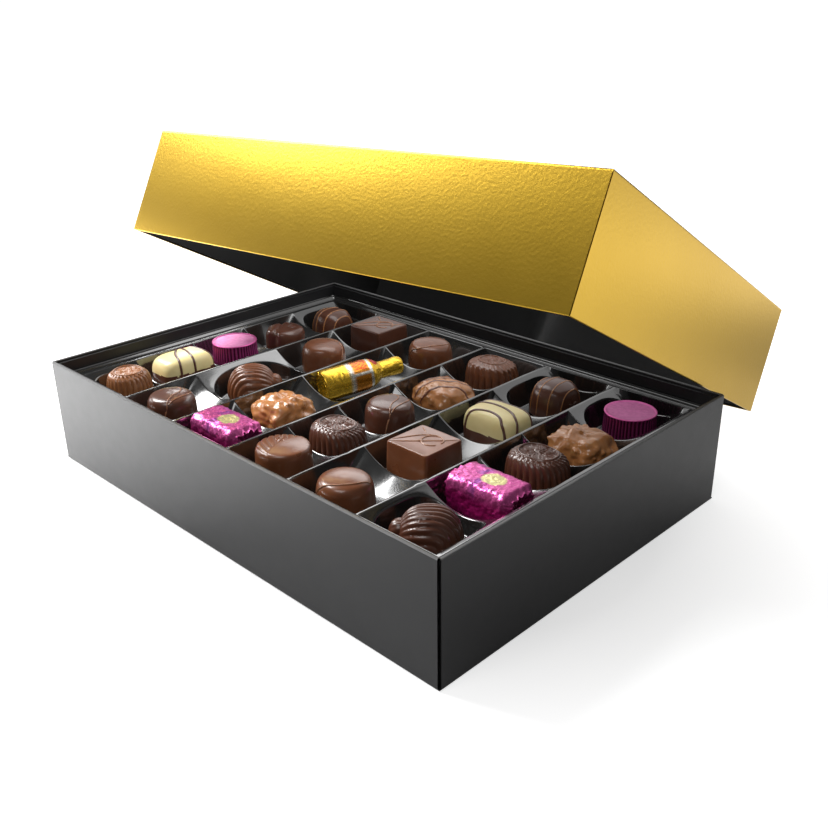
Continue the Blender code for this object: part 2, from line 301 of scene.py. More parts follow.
def make_materials():
    return {
        "black_board": board("black_board", (0.012, 0.012, 0.013), (0.018, 0.018, 0.019),
                             0.45, 1800.0, 0.12, Coat_Weight=0.1, Coat_Roughness=0.4,
                             Specular_IOR_Level=0.42),
        # the rim's top: grey, lighter than the black board, a painted sheen where the rim catches
        # light
        "black_rim": board("black_rim", (0.1, 0.1, 0.1), (0.14, 0.14, 0.14),
                           0.6, 1500.0, 0.1),
        "gold_board": board("gold_board", (0.53, 0.33, 0.032), (0.57, 0.36, 0.04),
                            0.3, 620.0, 0.8, 0.02, Metallic=1.0),
        "lid_inside": board("lid_inside", (0.004, 0.004, 0.004), (0.007, 0.007, 0.007),
                            0.45, 1500.0, 0.15),
        "tray": tray_plastic(),
        "milk": chocolate("milk_chocolate", (0.17, 0.056, 0.022), (0.22, 0.075, 0.03)),
        "toffee": chocolate("toffee_chocolate", (0.3, 0.11, 0.036), (0.38, 0.15, 0.055)),
        "nut": chocolate("nut_chocolate", (0.45, 0.175, 0.055), (0.58, 0.25, 0.085), 0.26),
        "dark": chocolate("dark_chocolate", (0.09, 0.03, 0.016), (0.12, 0.042, 0.023)),
        "ivory": chocolate("ivory_chocolate", (0.88, 0.72, 0.32), (0.95, 0.81, 0.42), 0.36,
                           0.2),
        # raised lines in a lighter brown than the chocolate under them: a painted highlight along
        # each ridge
        "ridge": chocolate("ridge_chocolate", (0.3, 0.135, 0.07), (0.38, 0.18, 0.1), 0.26),
        "caramel": chocolate("caramel_lines", (0.42, 0.17, 0.06), (0.5, 0.22, 0.09)),
        "stripe": chocolate("stripe_chocolate", (0.1, 0.036, 0.022), (0.135, 0.05, 0.03)),
        "foil": printed_foil("pink_foil", 0.62),
        "cup_foil": printed_foil("cup_foil", 0.7, 0.34, 500.0, 0.12),
        "gold_foil": printed_foil("gold_foil", 0.75, 0.25, 200.0, 0.25),
    }


# ---- shared shapes ----

def press(bm, face, ring):
    """Pull a face out of itself and move its points to the ring."""
    face = bmesh.ops.extrude_discrete_faces(bm, faces=[face])["faces"][0]
    for vert, point in zip(face.verts, ring):
        vert.co = point
    return face


def pull_through(bm, rings):
    """Pull a face through the rings; gives the first ring's points and the last face."""
    face = bm.faces.new([bm.verts.new(point) for point in rings[0]])
    lowest = list(face.verts)
    for ring in rings[1:]:
        face = press(bm, face, ring)
    return lowest, face


def close_through(bm, rings):
    """Pull a face through the rings and close the first ring."""
    lowest, _ = pull_through(bm, rings)
    bm.faces.new(lowest[::-1])


def drawn_up(rings):
    """A closed body through its rings from the first to the last."""
    bm = bmesh.new()
    close_through(bm, rings)
    return bm


def curve_through(points, steps):
    """Evenly stepped points on a smooth curve through a few given ones."""
    points = [Vector(point) for point in points]
    ends = [2 * points[0] - points[1], *points, 2 * points[-1] - points[-2]]
    found = []
    for i in range(len(points) - 1):
        a, b, c, d = ends[i:i + 4]
        for step in range(steps):
            t = step / steps
            found.append(0.5 * (2 * b + (c - a) * t + (2 * a - 5 * b + 4 * c - d) * t * t
                                + (3 * b - a - 3 * c + d) * t ** 3))
    found.append(points[-1])
    return found


def smooth_step(low, high, value):
    t = min(1.0, max(0.0, (value - low) / (high - low)))
    return t * t * (3 - 2 * t)


def piece(name, bm, materials, node, slot, sharp=40, flip_check=True):
    """A finished piece that stands for one node of the frame."""
    if flip_check:
        bmesh.ops.recalc_face_normals(bm, faces=bm.faces)
    mesh = bpy.data.meshes.new(name)
    bm.to_mesh(mesh)
    bm.free()
    for material in materials:
        mesh.materials.append(material)
    mesh.shade_smooth()
    if sharp:
        mesh.set_sharp_from_angle(angle=math.radians(sharp))
    item = bpy.data.objects.new(name, mesh)
    bpy.context.scene.collection.objects.link(item)
    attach(item, "root")
    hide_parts(node)
    return item


# ---- cartons ----

def board_ring(length, width, z, inset=0.0, slit=0.0):
    """A rectangle with a notch at each corner, as wide as the slit between two panels."""
    ring = []
    for side_x, side_y in ((-1, -1), (1, -1), (1, 1), (-1, 1)):
        corner = Vector((side_x * (length / 2 - inset), side_y * (width / 2 - inset), z))
        in_x, in_y = Vector((-side_x * slit, 0, 0)), Vector((0, -side_y * slit, 0))
        first, last = (in_y, in_x) if side_x * side_y > 0 else (in_x, in_y)
        ring += [corner + first, corner + 2.3 * (in_x + in_y), corner + last]
    return ring


def folded_carton(length, width, height, wall, floor, slit, round_low, rim):
    """An open carton with rounded folds, a slit at each upright corner and a narrow rim
    that stands a step above the lining."""
    turn = [(1 - math.sin(angle), 1 - math.cos(angle)) for angle in
            map(math.radians, (0, 22, 45, 68, 90))]
    soft = 0.5 * MM
    rings = [board_ring(length, width, round_low * up, round_low * side, 0.02 * MM)
             for side, up in turn]
    rings.append(board_ring(length, width, round_low * 1.6, 0, slit))
    for side, up in turn[::-1]:
        rings.append(board_ring(length, width, height - soft * up, soft * side,
                                slit * (1 - 0.3 * side)))
    for side, up in turn:
        rings.append(board_ring(length, width, height - soft * up, rim - soft * side, SAME))
    rings.append(board_ring(length, width, height - RIM_STEP, rim, SAME))
    rings.append(board_ring(length, width, height - RIM_STEP, wall, SAME))
    for side, up in turn[::-1]:
        rings.append(board_ring(length, width, floor + soft * up, wall + soft * side, SAME))
    bm = drawn_up(rings)
    bmesh.ops.remove_doubles(bm, verts=bm.verts, dist=2 * SAME)
    return bm


def paint_faces(bm, choose):
    for face in bm.faces:
        face.material_index = choose(face)


def make_base(materials):
    low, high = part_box("base_carton")
    length, width, height = high - low
    bm = folded_carton(length, width, height, BASE_WALL, BASE_FLOOR, slit=1.1 * MM,
                       round_low=0.5 * MM, rim=1.7 * MM)
    # faces along the top of the rim take the grey rim material, a painted sheen
    rim = height - 0.3 * MM
    paint_faces(bm, lambda face: int(face.calc_center_median().z > rim))
    bmesh.ops.translate(bm, verts=bm.verts, vec=(0, 0, low.z))
    piece("base_folded_board", bm, [materials["black_board"], materials["black_rim"]],
          "base_carton", "base_board", 50)


def lid_place():
    """From the lid's own corner and sides to where it leans."""
    return Matrix.Translation(LID_CORNER) @ LID_TILT.to_matrix().to_4x4()


def make_lid(materials):
    low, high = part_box("base_carton")
    grow = 2 * (LID_PLAY + LID_WALL)
    length, width = high.x - low.x + grow, high.y - low.y + grow
    bm = folded_carton(length, width, LID_DEPTH, LID_WALL, LID_WALL, slit=0.35 * MM,
                       round_low=0.9 * MM, rim=1.3 * MM)

    def lining(face):
        centre = face.calc_center_median()
        in_x, in_y = length / 2 - abs(centre.x), width / 2 - abs(centre.y)
        return int(min(in_x, in_y) > 1.2 * MM and centre.z > LID_WALL - 0.1 * MM)

    paint_faces(bm, lining)
    over = (Matrix.Translation((length / 2, -width / 2, LID_DEPTH))
            @ Matrix.Rotation(math.pi, 4, "X"))
    bmesh.ops.transform(bm, matrix=lid_place() @ over, verts=bm.verts)
    piece("lid_folded_board", bm, [materials["gold_board"], materials["lid_inside"]],
          "lid_carton", "lid_board", 50)


# ---- tray ----

def trough(x, row_x, half_x):
    """The hollow across a row, from ridge to ridge."""
    return RIDGE_TOP - SADDLE_SAG * (1 - min(1, abs(x - row_x) / half_x) ** 2)


ACROSS, ALONG = 22, 14       # points on the sides of a cell


def cell_ring(centre, half_x, half_y, power=None):
    """Points round a cell from its -X -Y corner: square with no power, rounder as it falls."""
    walk = [(2 * i / ACROSS - 1, -1) for i in range(ACROSS)]
    walk += [(1, 2 * i / ALONG - 1) for i in range(ALONG)]
    walk += [(-x, -y) for x, y in walk]
    ring = []
    for x, y in walk:
        reach = (abs(x) ** power + abs(y) ** power) ** (1 / power) if power else 1
        ring.append(Vector((centre.x + x / reach * half_x, centre.y + y / reach * half_y, 0)))
    return ring


def bend(start, corner, end, steps):
    """Points after the start on a rounded bend."""
    return [start.lerp(corner, i / steps).lerp(corner.lerp(end, i / steps), i / steps)
            for i in range(1, steps + 1)]


def slope_path(edge, low):
    """From a cell's edge down a straight wall to its floor, rounded at both ends."""
    flat = Vector((low.x - edge.x, low.y - edge.y, 0))
    flat = flat.normalized() if flat.length > SAME else Vector((0, 0, 0))
    brow = edge + 0.3 * MM * flat
    down = (low - brow).normalized()
    lip = brow + 0.7 * MM * down
    heel = low - 1.6 * MM * down
    return (bend(edge, brow, lip, 3) + [lip.lerp(heel, 0.35), lip.lerp(heel, 0.7)]
            + bend(heel, low, low + 1.6 * MM * flat, 3))


def pit_path(edge, land, wall, low, top):
    """From a cell's edge over its land, round the lip of the pit and down to the floor."""
    flat = Vector((wall.x - land.x, wall.y - land.y, 0)).normalized()
    lip = Vector((wall.x, wall.y, top - 0.9 * MM))
    corner = Vector((wall.x, wall.y, top))
    heel = low + Vector((0, 0, 1.5 * MM))
    return ([edge.lerp(land, 0.2), edge.lerp(land, 0.6), land] + bend(land, corner, lip, 3)
            + [lip.lerp(heel, 0.5)] + bend(heel, low, low + 1.5 * MM * flat, 3))


def cell_rings(cell, span_x, span_y):
    """The rings of one cell, from its edge to its floor."""
    middle = Vector((sum(span_x) / 2, sum(span_y) / 2, 0))
    half_x = (span_x[1] - span_x[0] - RIDGE_WIDTH) / 2
    half_y = (span_y[1] - span_y[0]) / 2
    edge = cell_ring(middle, half_x, half_y)
    for point in edge:
        at_end = abs(abs(point.y - middle.y) - half_y) < SAME
        inside = abs(point.y) < CELLS_WIDTH / 2 - SAME
        point.z = trough(point.x, middle.x, half_x) if at_end and inside else RIDGE_TOP
    front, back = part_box(PRALINES[cell])
    floor = front.z - GAP
    if cell in PIT_CELLS:
        power = PIT_CELLS[cell]
        reach_y = half_y - PIT_LAND / 2
        reach_x = half_x - PIT_LAND
        land = cell_ring(middle, reach_x + 0.8 * MM, reach_y + 0.8 * MM, power)
        wall = cell_ring(middle, reach_x, reach_y, power)
        low = cell_ring(middle, reach_x - 1.4 * MM, reach_y - 1 * MM, power)
        paths = []
        for at_edge, at_land, at_wall, at_low in zip(edge, land, wall, low):
            at_land.z = trough(at_land.x, middle.x, half_x)
            at_low.z = floor
            top = trough(at_wall.x, middle.x, half_x)
            path = pit_path(at_edge, at_land, at_wall, at_low, top)
            for point in path[:2]:
                point.z = trough(point.x, middle.x, half_x)
            paths.append(path)
    else:
        near = max(front.y - CELL_PLAY, span_y[0] + CELL_EDGE)
        far = min(back.y + CELL_PLAY, span_y[1] - CELL_EDGE)
        low = cell_ring(Vector((middle.x, (near + far) / 2, 0)), half_x - SIDE_RUN,
                        (far - near) / 2, SLOPE_POWER)
        for point in low:
            point.z = floor
        paths = [slope_path(at_edge, at_low) for at_edge, at_low in zip(edge, low)]
    return [edge] + [list(ring) for ring in zip(*paths)]


def rounded_rectangle(length, width, z, inset, radius, steps=6):
    ring = []
    for number, (side_x, side_y) in enumerate(((-1, -1), (1, -1), (1, 1), (-1, 1))):
        centre = Vector((side_x * (length / 2 - inset - radius),
                         side_y * (width / 2 - inset - radius), z))
        for step in range(steps + 1):
            angle = math.pi + (number + step / steps) * math.pi / 2
            ring.append(centre + radius * Vector((math.cos(angle), math.sin(angle), 0)))
    return ring


def make_tray(materials):
    """Six rows of cells, the flat ridges between them, and a stepped flange around them."""
    bm = bmesh.new()
    pitch = CELLS_LENGTH / len(CELL_LENGTHS)
    for index, (row, lengths) in enumerate(CELL_LENGTHS.items()):
        left = -CELLS_LENGTH / 2 + index * pitch
        front = -CELLS_WIDTH / 2
        for place, length in enumerate(lengths, 1):
            back = front + length * MM
            rings = cell_rings(f"{row}{place}", (left, left + pitch), (front, back))
            pull_through(bm, rings)
            front = back
    bmesh.ops.remove_doubles(bm, verts=bm.verts, dist=SAME)
    rows = [edge for edge in bm.edges if edge.is_boundary]
    low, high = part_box("tray")
    length, width = high.x - low.x, high.y - low.y
    top = high.z
    steps = ((0, (SKIRT_LOW - top) / MM, 3), (0, -0.9, 3), (0.25, -0.3, 3), (0.9, 0, 3),
             (1.5, 0, 2.8), (1.7, -0.55, 2.8), (2.2, -0.6, 2.7), (2.4, -0.1, 2.6),
             (3.0, 0, 2.5), (3.9, 0, 2.4), (4.25, -0.35, 2.3), (4.5, -1.3, 2.2),
             (4.9, -1.5, 2.1), (5.9, -1.5, 2))
    around = [rounded_rectangle(length, width, top + drop * MM, inset * MM, radius * MM)
              for inset, drop, radius in steps]
    _, face = pull_through(bm, around)
    inner = list(face.edges)
    bmesh.ops.delete(bm, geom=[face], context="FACES_ONLY")
    bmesh.ops.triangle_fill(bm, use_beauty=True, edges=rows + inner)
    bmesh.ops.recalc_face_normals(bm, faces=bm.faces)
    if sum(face.normal.z * face.calc_area() for face in bm.faces) < 0:
        bmesh.ops.reverse_faces(bm, faces=bm.faces)
    tray = piece("tray_pressed_sheet", bm, [materials["tray"]], "tray", "tray_plastic", 55,
                 flip_check=False)
    wall = tray.modifiers.new("sheet", "SOLIDIFY")
    wall.thickness = SHEET
    wall.offset = -1


# ---- shared praline shapes ----

def spot(node):
    """A node's footprint centre on its foot, and its size."""
    low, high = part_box(node)
    return Vector(((low.x + high.x) / 2, (low.y + high.y) / 2, low.z)), high - low


def turns(count):
    return [2 * math.pi * number / count for number in range(count)]


def outline(angle, half_x, half_y, power=2.0):
    x, y = math.cos(angle), math.sin(angle)
    reach = (abs(x) ** power + abs(y) ** power) ** (1 / power)
    return Vector((x / reach * half_x, y / reach * half_y, 0))


def moulded(size, profile, sides=96, power=2.0, steps=4, shape=None):
    """An upright body through rings: the profile gives parts of the footprint and height."""
    rings = []
    for scale, level, _ in curve_through([(*pair, 0) for pair in profile], steps):
        ring = []
        for angle in turns(sides):
            point = outline(angle, size.x / 2, size.y / 2, power) * scale
            point.z = level * size.z
            ring.append(shape(angle, scale, level, point) if shape else point)
        rings.append(ring)
    return drawn_up(rings)


def ribs(angle, count, depth):
    """A row of rounded ribs with narrow valleys, as a share of the radius."""
    return 1 - depth * (1 - abs(math.cos(angle * count / 2)) ** 0.7)


def thread(bm, route, radius, index=0, height=0.7, steps=8, taper=0.25, sides=8):
    """A fine raised line that follows the surface near its route, with tapered ends."""
    tree = BVHTree.FromBMesh(bm)
    points = curve_through(route, steps)
    found = [tree.find_nearest(point)[:2] for point in points]
    rings = []
    for number, (place, normal) in enumerate(found):
        before = found[max(0, number - 1)][0]
        after = found[min(len(found) - 1, number + 1)][0]
        along = (after - before).normalized()
        side = normal.cross(along).normalized()
        part = number / (len(found) - 1)
        thick = radius * max(0.12, min(1, part / taper, (1 - part) / taper)) ** 0.5
        rings.append([
            place + thick * (math.cos(turn) * side + math.sin(turn) * height * normal)
            for turn in turns(sides)])
    old = set(bm.faces)
    close_through(bm, rings)
    for face in bm.faces:
        if face not in old:
            face.material_index = index


def in_view(points, size):
    """Points given across and away from the open corner, as parts of the half sizes."""
    return [Vector((0, 0, size.z * up)) + RIGHT * right * size.x / 2 + AWAY * away * size.x / 2
            for right, away, up in points]


def on_axes(points, size):
    """Points given along the praline's own sides, as parts of its half sizes and height."""
    return [Vector((x * size.x / 2, y * size.y / 2, size.z * up)) for x, y, up in points]


def narrow(point, factor):
    point.x *= factor
    point.y *= factor


def mottled(point, size, depth):
    """A small uneven rise or fall at a point."""
    return depth * noise.fractal(point / size, 0.6, 2.0, 3)


# ---- pralines ----

DOME = ((0.94, 0), (0.985, 0.03), (1, 0.12), (0.995, 0.4), (0.975, 0.65), (0.93, 0.8),
        (0.84, 0.905), (0.7, 0.955), (0.45, 0.985), (0.2, 1), (0.02, 1))
ROUND_DOME = ((0.93, 0), (0.98, 0.03), (1, 0.1), (0.98, 0.32), (0.93, 0.54), (0.84, 0.73),
              (0.7, 0.87), (0.52, 0.95), (0.3, 0.99), (0.02, 1))
RIDGE_LINE = 0.45 * MM


def swirl_round(cell, size, look):
    """A flat-topped dome with two fine ridges that meet at the front."""
    bm = moulded(size, DOME, 96)
    # both ridges take the lighter ridge material, a painted highlight
    thread(bm, in_view(((0.05, 0.75, 1), (0.3, 0.45, 1), (0.34, 0.1, 1), (0.12, -0.35, 1),
                        (0.04, -0.65, 0.9), (0.02, -0.9, 0.75)), size), RIDGE_LINE, 1, 1)
    thread(bm, in_view(((0.8, 0.35, 0.95), (0.72, -0.02, 0.97), (0.42, -0.42, 0.97),
                        (0.1, -0.8, 0.85), (-0.1, -1, 0.5), (-0.2, -1, 0.2)), size),
           RIDGE_LINE, 1, 1)
    return bm, [look, "ridge"]


def smooth_dome(cell, size, look):
    """A flat-topped dome with one fine ridge."""
    bm = moulded(size, DOME, 96)
    routes = {
        "b3": ((-0.6, 0.4, 1), (0, 0.5, 1), (0.5, 0.2, 1), (0.75, -0.15, 0.9), (0.78, -0.5, 0.6),
               (0.75, -0.7, 0.2)),
        "c4": ((-1, 0, 0.3), (-0.85, -0.3, 0.75), (-0.5, -0.62, 0.92), (0, -0.6, 0.97),
               (0.5, -0.45, 0.98), (0.92, -0.05, 0.85)),
        "e1": ((-1, -0.1, 0.4), (-0.8, -0.35, 0.8), (-0.35, -0.55, 0.96), (0.2, -0.55, 0.98),
               (0.65, -0.35, 0.95), (0.95, -0.1, 0.7)),
    }
    # the ridge takes the lighter ridge material, a painted highlight
    thread(bm, in_view(routes[cell], size), RIDGE_LINE, 1, 1)
    return bm, [look, "ridge"]


def striped_dome(cell, size, look):
    """A long dome with lighter lines over it and an arched panel with a star at its +X end."""
    def panel(angle, scale, level, point):
        reach = size.x / 2 * 0.72
        if point.x > reach:
            point.x = reach + (point.x - reach) * 0.45
        return point
    bm = moulded(size, ROUND_DOME, 112, 2.3, shape=panel)
    for x in (-0.72, -0.22, 0.3):
        thread(bm, on_axes(((x, -1, 0.02), (x, -1, 0.4), (x, -0.7, 0.85), (x, 0, 1.1),
                            (x, 0.7, 0.85), (x, 1, 0.3)), size), 0.4 * MM, 1)
    thread(bm, on_axes(((0.86, -0.75, 0.02), (0.84, -0.72, 0.4), (0.8, -0.45, 0.75),
                        (0.76, 0, 0.85), (0.8, 0.45, 0.75), (0.86, 0.75, 0.1)), size),
           0.38 * MM, 1)
    for turn in range(5):
        angle = math.radians(90 + 72 * turn)
        thread(bm, on_axes(((0.9, 0, 0.42), (0.9, 0.3 * math.cos(angle),
                                             0.42 + 0.2 * math.sin(angle))), size),
               0.4 * MM, 0, steps=4)
    return bm, [look, "caramel"]


def flat_disc(level_at_rim, disc):
    """The profile of a ribbed praline: sides, rounded shoulder, rim and a level disc."""
    return ((0.96, 0), (1, 0.04), (0.985, 0.3), (0.95, 0.58), (0.9, 0.76), (0.82, 0.89),
            (disc + 0.07, level_at_rim), (disc + 0.035, level_at_rim), (disc, 1),
            (disc - 0.035, 1), (disc - 0.07, level_at_rim), (disc * 0.6, level_at_rim),
            (disc * 0.3, level_at_rim), (0.02, level_at_rim))


def ribbed(size, power, count, disc, engraved, twist):
    """A ribbed round or oval: the ribs turn as they come over the shoulder."""
    def shape(angle, scale, level, point):
        over = smooth_step(0.97, disc + 0.03, scale)
        fade = 1 - smooth_step(disc + 0.1, disc + 0.05, scale)
        factor = ribs(angle + twist * over, count, 0.1 * fade * (0.75 + 0.5 * over))
        narrow(point, factor)
        if scale < disc - 0.05:
            point.z += mottled(point, 1.1 * MM, engraved)
        elif over > 0 and fade > 0:
            point.z -= (1 - factor) * 0.25 * size.z * over
        return point
    return moulded(size, flat_disc(0.965, disc), 8 * count, power, 3, shape)


def fluted_round(cell, size, look):
    return ribbed(size, 2.0, 26, 0.6, 0.35 * MM, 0.25), ["toffee"]


def fluted_oval(cell, size, look):
    """Ribs all round a level disc; the one at the back has fewer ribs and a smaller disc."""
    if cell == "d5":
        return ribbed(size, 2.5, 22, 0.5, 0.5 * MM, 0.5), [look]
    return ribbed(size, 2.4, 26, 0.6, 0.6 * MM, 0.42), [look]


def leaf_drum(cell, size, look):
    """A drum with a slightly domed top, part of it sunk and carved with the veins of a leaf."""
    profile = ((0.97, 0), (1, 0.04), (1, 0.4), (0.99, 0.7), (0.97, 0.85), (0.92, 0.925),
               (0.84, 0.955), (0.6, 0.975), (0.3, 0.995), (0.02, 1))

    def carved(angle, scale, level, point):
        right, away = point.dot(RIGHT) / MM, point.dot(AWAY) / MM
        aside = 0.6 * away - 0.8 * right - 1.5 + 0.03 * away * away
        along = 0.8 * away + 0.6 * right
        sunk = smooth_step(0, 0.8, aside) * smooth_step(0.5, 0.85, level)
        vein = abs((along - 0.55 * aside) / 3.4 % 1 - 0.5) * 3.4
        arch = abs(math.hypot(aside - 3.5, along - 4) - 2.8)
        cut = math.exp(-(vein / 0.4) ** 2) + math.exp(-(arch / 0.4) ** 2)
        point.z -= sunk * (0.45 + 0.55 * min(1, cut)) * MM
        return point
    return moulded(size, profile, 224, 2.0, 9, carved), [look]


def heart(cell, size, look):
    """Two lobes side by side with a fold between them, and a curl on the right one."""
    def lobes(angle, scale, level, point):
        away = math.atan2(point.dot(AWAY), -point.dot(RIGHT) - 0.001)
        front = math.atan2(-point.dot(AWAY) - 0.2 * point.dot(RIGHT), -point.dot(RIGHT) * 0.9)
        notch = 0.2 * math.exp(-((front - 1.1) / 0.22) ** 2) + 0.1 * math.exp(-(away / 0.3) ** 2)
        factor = 1 - notch * smooth_step(0.1, 0.7, scale)
        narrow(point, factor)
        fold = abs(point.dot(RIGHT) + size.x * 0.16 - 0.12 * point.dot(AWAY))
        point.z -= 1.3 * MM * math.exp(-(fold / (1.1 * MM)) ** 2) * smooth_step(0.5, 0.9, level)
        return point
    profile = ((0.95, 0), (0.99, 0.03), (1, 0.2), (0.99, 0.6), (0.96, 0.8), (0.88, 0.92),
               (0.7, 0.975), (0.4, 0.99), (0.02, 1))
    bm = moulded(size, profile, 144, 2.2, 5, lobes)
    curl = [(0.32 + 0.3 * r * math.cos(a), 0.1 + 0.3 * r * math.sin(a), 1.02) for r, a in
            ((1 - 0.1 * i, math.radians(200 + 55 * i)) for i in range(9))]
    thread(bm, in_view(curl, size), 0.32 * MM, steps=6)
    return bm, [look]


def square(cell, size, look):
    """A square block with drafted sides, a hollowed top and fine crossing lines on it."""
    profile = ((0.985, 0), (1, 0.02), (0.99, 0.3), (0.978, 0.6), (0.963, 0.9), (0.955, 0.96),
               (0.94, 0.985), (0.915, 0.995), (0.88, 0.99), (0.6, 0.975), (0.3, 0.97),
               (0.02, 0.97))
    bm = moulded(size, profile, 160, 22, 4)
    ring = [(0.2 + 0.4 * math.cos(a), 0.2 + 0.4 * math.sin(a), 1) for a in
            (math.radians(30 * i) for i in range(12))]
    # the ring and the crossing lines take the lighter ridge material, a painted highlight
    thread(bm, on_axes(ring, size), 0.5 * MM, 1, 0.8, 5, 0.02)
    for route in (((-0.88, -0.88, 1), (0, 0, 1), (0.88, 0.88, 1)),
                  ((-0.88, -0.7, 1), (-0.4, 0.3, 1), (0.1, 0.6, 1)),
                  ((-0.8, 0.8, 1), (-0.4, 0.55, 1))):
        thread(bm, on_axes(route, size), RIDGE_LINE, 1, 0.8)
    return bm, [look, "ridge"]


def cream_bar(cell, size, look):
    """A rounded ivory bar on a milk-chocolate foot, with thin dark stripes over it."""
    profile = ((0.95, 0), (0.99, 0.03), (1, 0.15), (1, 0.33), (1.0, 0.36), (0.99, 0.55),
               (0.95, 0.73), (0.86, 0.87), (0.7, 0.95), (0.45, 0.985), (0.2, 1), (0.02, 1))

    def wavy(angle, scale, level, point):
        if 0.3 < level < 0.6:
            point.z += 0.35 * MM * math.sin(3 * angle + 1) + 0.2 * MM * math.sin(7 * angle)
        return point
    bm = moulded(size, profile, 112, 4, 4, wavy)
    foot = size.z * {"a2": 0.52, "e3": 0.42}[cell]        # where the milk chocolate ends
    paint_faces(bm, lambda face: int(face.calc_center_median().z < foot))
    stripes = {
        "a2": (((-1, 0.2, 0.5), (-0.75, 0.1, 0.95), (0, -0.25, 1), (0.75, -0.45, 0.93),
                (1, -0.5, 0.55), (1, -0.52, 0.1)),
               ((-0.95, 0.25, 0.7), (-0.6, 0.25, 0.97), (0, 0.2, 1), (0.6, 0.1, 0.97),
                (0.95, 0.05, 0.7), (1, 0.05, 0.15)),
               ((-0.8, 0.55, 0.9), (-0.1, 0.75, 0.95), (0.5, 0.82, 0.85), (0.85, 0.9, 0.4))),
        "e3": (((-0.97, 0.3, 0.75), (-0.6, 0.72, 0.97), (0.1, 0.8, 0.95), (0.7, 0.74, 0.9),
                (0.97, 0.6, 0.55), (1, 0.55, 0.2)),
               ((-1, -0.05, 0.7), (-0.65, 0.15, 0.98), (0, 0.18, 1), (0.5, 0.02, 0.98),
                (0.82, -0.25, 0.85), (0.98, -0.45, 0.5), (1, -0.5, 0.1)),
               ((-0.78, -1, 0.08), (-0.74, -1, 0.5), (-0.55, -0.72, 0.92), (-0.1, -0.5, 0.98),
                (0.35, -0.58, 0.96), (0.7, -0.8, 0.7), (0.82, -0.95, 0.35), (0.83, -1, 0.1))),
    }
    for route in stripes[cell]:
        thread(bm, on_axes(route, size), 0.75 * MM, 2, 0.7, taper=0.06)
    return bm, ["ivory", "stripe", "stripe"]


def join_in(bm, other):
    """Add another closed body to this one."""
    mesh = bpy.data.meshes.new("joined")
    other.to_mesh(mesh)
    other.free()
    bm.from_mesh(mesh)
    bpy.data.meshes.remove(mesh)


def scallop_ribs(bm, size, count, depth, reach):
    """Press ribs that spread from the -X end and run level over the +X half."""
    for vert in bm.verts:
        x, y = vert.co.x / (size.x / 2), vert.co.y / (size.y / 2)
        width = max(0.28, math.sqrt(max(0, 1 - min(0, x) ** 2)))
        place = math.asin(max(-1, min(1, y / width)))
        rib = abs(math.cos(count * place)) ** 0.75 - 0.6
        low = smooth_step(0, 0.12, vert.co.z / size.z)
        normal = Vector((x, y, 1.2 * vert.co.z / size.z)).normalized()
        vert.co += normal * depth * rib * low * smooth_step(-1.02, reach, x)


def shell(cell, size, look):
    """A scallop: even ribs spread from a small ribbed knob over a high back."""
    profile = ((0.84, 0), (0.93, 0.04), (0.98, 0.14), (0.98, 0.32), (0.92, 0.54), (0.8, 0.74),
               (0.62, 0.89), (0.4, 0.97), (0.18, 0.995), (0.02, 1))
    body = Vector((size.x * 0.92, size.y * 0.98, size.z * 0.97))
    bm = moulded(body, profile, 240, 2.1, 7)
    scallop_ribs(bm, body, 14, 0.8 * MM, -0.5)
    bmesh.ops.translate(bm, verts=bm.verts, vec=(size.x * 0.035, 0, 0))
    knob_size = Vector((size.x * 0.36, size.y * 0.42, size.z * 0.6))
    knob = moulded(knob_size, ROUND_DOME, 80, 2.0, 4)
    scallop_ribs(knob, knob_size, 7, 0.3 * MM, -0.6)
    bmesh.ops.translate(knob, verts=knob.verts, vec=(-size.x * 0.35, 0, 0.1 * size.z))
    join_in(bm, knob)
    turn = {"b2": 225, "f1": 42}[cell]
    bmesh.ops.rotate(bm, verts=bm.verts, cent=(0, 0, 0),
                     matrix=Matrix.Rotation(math.radians(turn), 3, "Z"))
    return bm, [look]


def lumpy(size, seed, count, bump, width, rough):
    """Nuts under chocolate: a low block with close round knobs, hollows and a flat foot."""
    chance = random.Random(seed)
    knobs = KDTree(count)
    sizes = []
    for number in range(count):
        knobs.insert(Vector([chance.gauss(0, 1) for _ in range(3)]).normalized(), number)
        sizes.append((width * chance.uniform(0.7, 1.3), bump * chance.uniform(0.3, 1.2)))
    knobs.balance()
    bm = bmesh.new()
    bmesh.ops.create_icosphere(bm, subdivisions=6, radius=1)
    foot = -0.55
    for vert in bm.verts:
        here = vert.co.copy()
        flat = sum(abs(part) ** 3 for part in here) ** (1 / 3)
        near = [(math.exp(-(away / sizes[number][0]) ** 2) * sizes[number][1]) ** 3
                for _, number, away in knobs.find_n(here, 6)]
        rise = sum(near) ** (1 / 3) + rough * noise.fractal(here * 2, 0.8, 2.0, 2)
        vert.co = here / flat * (1 + rise)
        vert.co.z = max(vert.co.z, foot)
    for axis in range(3):
        low = min(vert.co[axis] for vert in bm.verts)
        high = max(vert.co[axis] for vert in bm.verts)
        start = 0 if axis == 2 else -size[axis] / 2
        for vert in bm.verts:
            vert.co[axis] = start + (vert.co[axis] - low) / (high - low) * size[axis]
    return bm


def nut_cluster(cell, size, look):
    seed = {"c2": 5, "f4": 11}[cell]
    return lumpy(size, seed, count=170, bump=0.075, width=0.11, rough=0.13), ["nut"]


